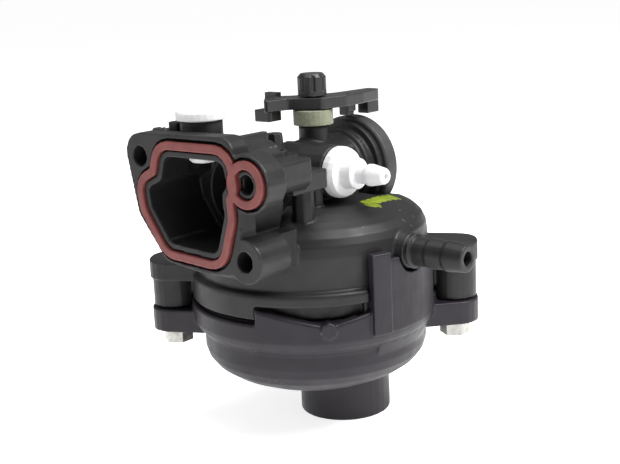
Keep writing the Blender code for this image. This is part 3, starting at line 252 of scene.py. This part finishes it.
FLOAT_PLASTIC = rubber("float_plastic", (0.50, 0.48, 0.40), (0.62, 0.60, 0.52), roughness=0.5)
PAINT = paint("marking_paint", (0.10, 0.14, 0.005), (0.26, 0.33, 0.02))


# ---------------------------------------------------------------- mesh tools

def new_piece(name, mesh, material, body, stands_for=()):
    """Adds a finished mesh as a piece that rides on a body and stands for CAD nodes."""
    mesh.name = name
    piece = bpy.data.objects.new(name, mesh)
    bpy.context.scene.collection.objects.link(piece)
    mesh.materials.clear()
    mesh.materials.append(material)
    mesh.shade_smooth()
    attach(piece, body)
    if stands_for:
        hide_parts(*stands_for)
    return piece


def helper(name, mesh):
    obj = bpy.data.objects.new(name, mesh)
    bpy.context.scene.collection.objects.link(obj)
    return obj


def finished(shape, name):
    """Turns a bmesh into a mesh, and frees it."""
    mesh = bpy.data.meshes.new(name)
    shape.to_mesh(mesh)
    shape.free()
    return mesh


def spots_of(mesh):
    spots = np.empty(len(mesh.vertices) * 3)
    mesh.vertices.foreach_get("co", spots)
    return spots.reshape(-1, 3)


def set_spots(mesh, spots):
    mesh.vertices.foreach_set("co", spots.astype(np.float32).ravel())
    mesh.update()


def relax(mesh, rounds):
    """Rounds edges and evens the surface without shrinking it, by smoothing out and back in turn."""
    spots = spots_of(mesh)
    count = len(spots)
    ends = np.empty(len(mesh.edges) * 2, np.int64)
    mesh.edges.foreach_get("vertices", ends)
    ends = ends.reshape(-1, 2)
    links = np.bincount(ends.ravel(), minlength=count)[:, None]
    for _ in range(rounds):
        for share in (RELAX_PUSH, RELAX_PULL):
            total = np.stack([
                np.bincount(ends[:, 0], spots[ends[:, 1], k], count)
                + np.bincount(ends[:, 1], spots[ends[:, 0], k], count)
                for k in range(3)
            ], axis=1)
            spots += share * (total / links - spots)
    set_spots(mesh, spots)


def undo_facets(mesh):
    """Makes the many-sided dome or bowl truly round, out to its rim."""
    spots = spots_of(mesh)
    centre = np.array((0.0, BOWL_Y))
    flat = spots[:, :2] - centre
    radius = np.hypot(flat[:, 0], flat[:, 1])
    step = math.tau / DOME_SIDES
    turn = np.mod(np.arctan2(flat[:, 1], flat[:, 0]), step) - step / 2
    grow = np.cos(turn) / math.cos(step / 2)
    grow = np.where(radius < ROUND_REACH, grow, 1.0)
    spots[:, :2] = flat * grow[:, None] + centre
    set_spots(mesh, spots)


def evaluated_mesh(obj):
    bpy.context.view_layer.update()
    return bpy.data.meshes.new_from_object(obj.evaluated_get(bpy.context.evaluated_depsgraph_get()))


def welded_copy(node_name):
    mesh = nodes[node_name].data.copy()
    shape = bmesh.new()
    shape.from_mesh(mesh)
    bmesh.ops.remove_doubles(shape, verts=shape.verts, dist=WELD_DISTANCE)
    shape.to_mesh(mesh)
    shape.free()
    return mesh


def remould(node_name, voxel, extras=()):
    """A fine even skin over a CAD node's shape, with extra shapes fused on."""
    base = helper("remould", welded_copy(node_name))
    for tool in extras:
        modifier = base.modifiers.new("fuse", "BOOLEAN")
        modifier.object = tool
        modifier.operation = "UNION"
    skin = base.modifiers.new("skin", "REMESH")
    skin.mode = "VOXEL"
    skin.voxel_size = voxel
    mesh = evaluated_mesh(base)
    for used in (base, *extras):
        bpy.data.objects.remove(used, do_unlink=True)
    return mesh


def box_shape(low, high):
    """A box between two corners in millimetres."""
    shape = bmesh.new()
    bmesh.ops.create_cube(shape, size=1.0)
    low, high = Vector(low) * MM, Vector(high) * MM
    bmesh.ops.scale(shape, vec=high - low, verts=shape.verts)
    bmesh.ops.translate(shape, vec=(low + high) / 2, verts=shape.verts)
    return helper("box", finished(shape, "box"))


def band(section_at, start, end, steps=90):
    """A solid swept round the bowl between two angles in degrees.

    section_at gives the (radius, height) points of its section, in millimetres.
    """
    shape = bmesh.new()
    rings = []
    for i in range(steps + 1):
        degrees = start + (end - start) * i / steps
        angle = math.radians(degrees)
        rings.append([
            shape.verts.new((r * MM * math.cos(angle), BOWL_Y + r * MM * math.sin(angle), z * MM))
            for r, z in section_at(degrees)
        ])
    count = len(rings[0])
    for near, far in zip(rings, rings[1:]):
        for k in range(count):
            shape.faces.new((near[k], near[(k + 1) % count], far[(k + 1) % count], far[k]))
    shape.faces.new(rings[0])
    shape.faces.new(rings[-1])
    bmesh.ops.recalc_face_normals(shape, faces=shape.faces)
    return helper("band", finished(shape, "band"))


# ---------------------------------------------------------------- pieces

def skirt_bands():
    """The cover's rim band, which stands out from the dome, and is low over the recess in front."""
    root, face = 27.0, 29.9
    shoulder = [(root, -21.6), (29.0, -21.7), (29.7, -22.1), (face, -22.8)]
    over_recess = shoulder + [(face, -24.8), (root, -24.8)]
    full = shoulder + [(face, -27.9), (root, -28.2)]
    return [
        band(lambda degrees: over_recess, start=-78.0, end=-25.0),
        band(lambda degrees: full, start=25.0, end=283.5, steps=240),
    ]


def make_body():
    mesh = remould("main_body", voxel=0.27 * MM, extras=skirt_bands())
    undo_facets(mesh)
    relax(mesh, rounds=6)
    return new_piece("body_shell", mesh, BLACK, "housing", ["main_body"])


def in_paint(x, y):
    """Whether the brush wetted a place on the dome, in millimetres: a long stroke, and a blob by its end."""
    ragged = 0.35 * math.sin(2.9 * y) + 0.25 * math.sin(6.1 * y + 1.0) + 0.2 * math.sin(11.0 * y + x)
    stroke_x, stroke_y, lean, half_width = 16.6, 46.5, 0.05, 2.0
    near_end, far_end = 40.2, 53.0
    across = abs(x - stroke_x + lean * (y - stroke_y))
    stroke = across < half_width + 0.6 * ragged and near_end < y < far_end + ragged
    blob_x, blob_y, blob_half_x, blob_half_y = 18.3, 41.2, 2.4, 1.9
    blob = math.hypot((x - blob_x) / blob_half_x, (y - blob_y) / blob_half_y) < 1.0 + 0.25 * ragged
    return stroke or blob


def make_paint_dab(body):
    """The dab of marking paint on the dome, a thin film that follows its surface."""
    cell = 0.2 * MM
    cells_x, cells_y = 50, 90
    centre = (16.8 * MM, 46.5 * MM, 0.0)
    down = (0.0, 0.0, -1.0)
    shape = bmesh.new()
    bmesh.ops.create_grid(shape, x_segments=cells_x, y_segments=cells_y, size=1.0)
    bmesh.ops.scale(shape, vec=(cells_x / 2 * cell, cells_y / 2 * cell, 1.0), verts=shape.verts)
    bmesh.ops.translate(shape, vec=centre, verts=shape.verts)
    dry = []
    for vert in shape.verts:
        if in_paint(vert.co.x / MM, vert.co.y / MM):
            spot = body.ray_cast((vert.co.x, vert.co.y, 0.0), down)[1]
            vert.co.z = spot.z
        else:
            dry.append(vert)
    bmesh.ops.delete(shape, geom=dry, context="VERTS")
    film = helper("paint_film", finished(shape, "paint_film"))
    thick = film.modifiers.new("thick", "SOLIDIFY")
    thick.thickness = 0.16 * MM
    thick.offset = 0.2
    mesh = evaluated_mesh(film)
    bpy.data.objects.remove(film, do_unlink=True)
    relax(mesh, rounds=2)
    return new_piece("paint_dab", mesh, PAINT, "housing")


def bowl_bands():
    """The bowl's thick upper wall, and in front its edge, which falls in a shallow V to the nub."""
    root, face = 26.0, 30.3
    wall = [
        (root, -29.0), (29.9, -29.0), (face, -29.5),
        (face, -33.2), (29.6, -34.6), (27.9, -36.6), (root, -36.8),
    ]
    v_angle, v_low, v_rise_per_degree = -43.5, -29.2, 0.115
    v_root, v_foot = 28.9, -30.5

    def v_edge(degrees):
        height = v_low + v_rise_per_degree * abs(degrees - v_angle)
        return [(v_root, height), (29.9, height), (face, height - 0.5), (face, v_foot), (v_root, v_foot)]

    return [
        band(lambda degrees: wall, start=0.0, end=359.0, steps=240),
        band(lambda degrees: wall, start=358.0, end=361.0, steps=4),
        band(v_edge, start=-76.0, end=-24.0),
    ]


def make_bowl():
    mesh = remould("float_bowl", voxel=0.27 * MM, extras=bowl_bands())
    undo_facets(mesh)
    relax(mesh, rounds=5)
    return new_piece("bowl_shell", mesh, BOWL_BLACK, "housing", ["float_bowl"])


def hanging_blocks():
    """The blocks that hang under the lever's two ends, in millimetres."""
    low = edge("throttle_lever", 0, 2) / MM
    shaft_y = middle("throttle_plate", 1) / MM
    top = low + 2.6
    hook_foot = low - 0.9
    short_foot = low - 0.3
    return [
        box_shape((1.0, shaft_y + 16.2, hook_foot), (4.3, shaft_y + 20.7, top)),
        box_shape((-0.7, shaft_y + 10.9, hook_foot), (2.0, shaft_y + 13.4, top)),
        box_shape((-9.6, shaft_y - 10.4, short_foot), (-4.9, shaft_y - 6.0, top)),
    ]


def make_remoulded_pieces():
    """The pieces that take their whole shape from one CAD node."""
    for node_name, name, voxel, rounds, material, body, extras in (
        ("inlet_seal", "seal_bead", 0.16 * MM, 6, SILICONE, "housing", []),
        ("throttle_lever", "lever_arm", 0.14 * MM, 4, LEVER_BLACK, "throttle", hanging_blocks()),
        ("throttle_shaft", "shaft_and_head", 0.12 * MM, 4, LEVER_BLACK, "throttle", []),
        ("pilot_jet", "pilot_cap", 0.1 * MM, 3, LEVER_BLACK, "housing", []),
        ("spigot_seal", "spigot_ring", 0.2 * MM, 4, RUBBER, "housing", []),
        ("throttle_washer", "felt_ring", 0.12 * MM, 4, FELT, "housing", []),
        ("choke_plug", "plug_cap", 0.14 * MM, 4, WHITE, "housing", []),
        ("primer_nozzle", "primer_barb", 0.12 * MM, 4, WHITE, "housing", []),
        ("bowl_screw_right", "screw_right", 0.12 * MM, 4, ZINC, "housing", []),
        ("bowl_screw_left", "screw_left", 0.12 * MM, 4, ZINC, "housing", []),
    ):
        mesh = remould(node_name, voxel, extras)
        relax(mesh, rounds)
        new_piece(name, mesh, material, body, [node_name])


def dress_inner_nodes():
    finishes = {
        "throttle_plate": BRASS, "emulsion_tube": BRASS, "main_jet": BRASS, "needle_seat": RUBBER,
        "inlet_needle": STEEL, "float": FLOAT_PLASTIC, "float_pin": STEEL, "bowl_gasket": RUBBER,
        "nozzle_oring": RUBBER,
    }
    for name, finish in finishes.items():
        nodes[name].data.materials.clear()
        nodes[name].data.materials.append(finish)


# ---------------------------------------------------------------- studio

def make_camera():
    """The main view: a 63 mm lens about 240 mm from the object."""
    azimuth, elevation, roll = (math.radians(a) for a in (41.06, 13.13, 2.63))
    spot = Vector((169.49, -154.90, 45.98)) * MM
    back = Vector((
        math.sin(azimuth) * math.cos(elevation),
        -math.cos(azimuth) * math.cos(elevation),
        math.sin(elevation),
    ))
    level = Vector((math.cos(azimuth), math.sin(azimuth), 0.0))
    rise = back.cross(level)
    right = level * math.cos(roll) - rise * math.sin(roll)
    up = level * math.sin(roll) + rise * math.cos(roll)
    data = bpy.data.cameras.new("camera")
    data.sensor_width = 36.0
    data.lens = 62.56
    data.clip_start = 0.01
    data.clip_end = 100.0
    camera = bpy.data.objects.new("camera", data)
    turn = Matrix((right, up, back)).transposed().to_4x4()
    camera.matrix_world = Matrix.Translation(spot) @ turn
    bpy.context.scene.collection.objects.link(camera)
    bpy.context.scene.camera = camera


def make_floor():
    shape = bmesh.new()
    bmesh.ops.create_grid(shape, x_segments=1, y_segments=1, size=20.0)
    mesh = finished(shape, "floor")
    floor = helper("floor", mesh)
    floor.location.z = cad_box[0].z
    material, _, shader = shader_nodes("pale_floor", roughness=0.8)
    shader.inputs["Base Color"].default_value = (0.93, 0.93, 0.93, 1.0)
    shader.inputs["Emission Color"].default_value = (1.0, 1.0, 1.0, 1.0)
    shader.inputs["Emission Strength"].default_value = 0.76
    mesh.materials.append(material)


def area_light(name, spot, target, side, power):
    """A square light of one side's length, turned to face a place."""
    data = bpy.data.lights.new(name, "AREA")
    data.shape = "RECTANGLE"
    data.size = side
    data.size_y = side
    data.energy = power
    light = bpy.data.objects.new(name, data)
    light.location = spot
    light.rotation_euler = (Vector(target) - Vector(spot)).to_track_quat("-Z", "Y").to_euler()
    bpy.context.scene.collection.objects.link(light)


def make_studio():
    world = bpy.data.worlds.new("studio")
    world.use_nodes = True
    background = world.node_tree.nodes["Background"]
    background.inputs["Color"].default_value = (1.0, 1.0, 1.0, 1.0)
    background.inputs["Strength"].default_value = 0.24
    bpy.context.scene.world = world
    bpy.context.scene.view_settings.view_transform = "Standard"
    target = (0.0, 0.03, -0.02)
    area_light("key", (0.32, 0.12, 0.42), target, side=0.30, power=3.9)
    area_light("top", (-0.05, 0.05, 0.55), target, side=0.5, power=1.8)
    area_light("fill", (-0.40, -0.35, 0.25), target, side=0.3, power=0.35)
    make_floor()


make_paint_dab(make_body())
make_bowl()
make_remoulded_pieces()
dress_inner_nodes()
make_studio()
make_camera()
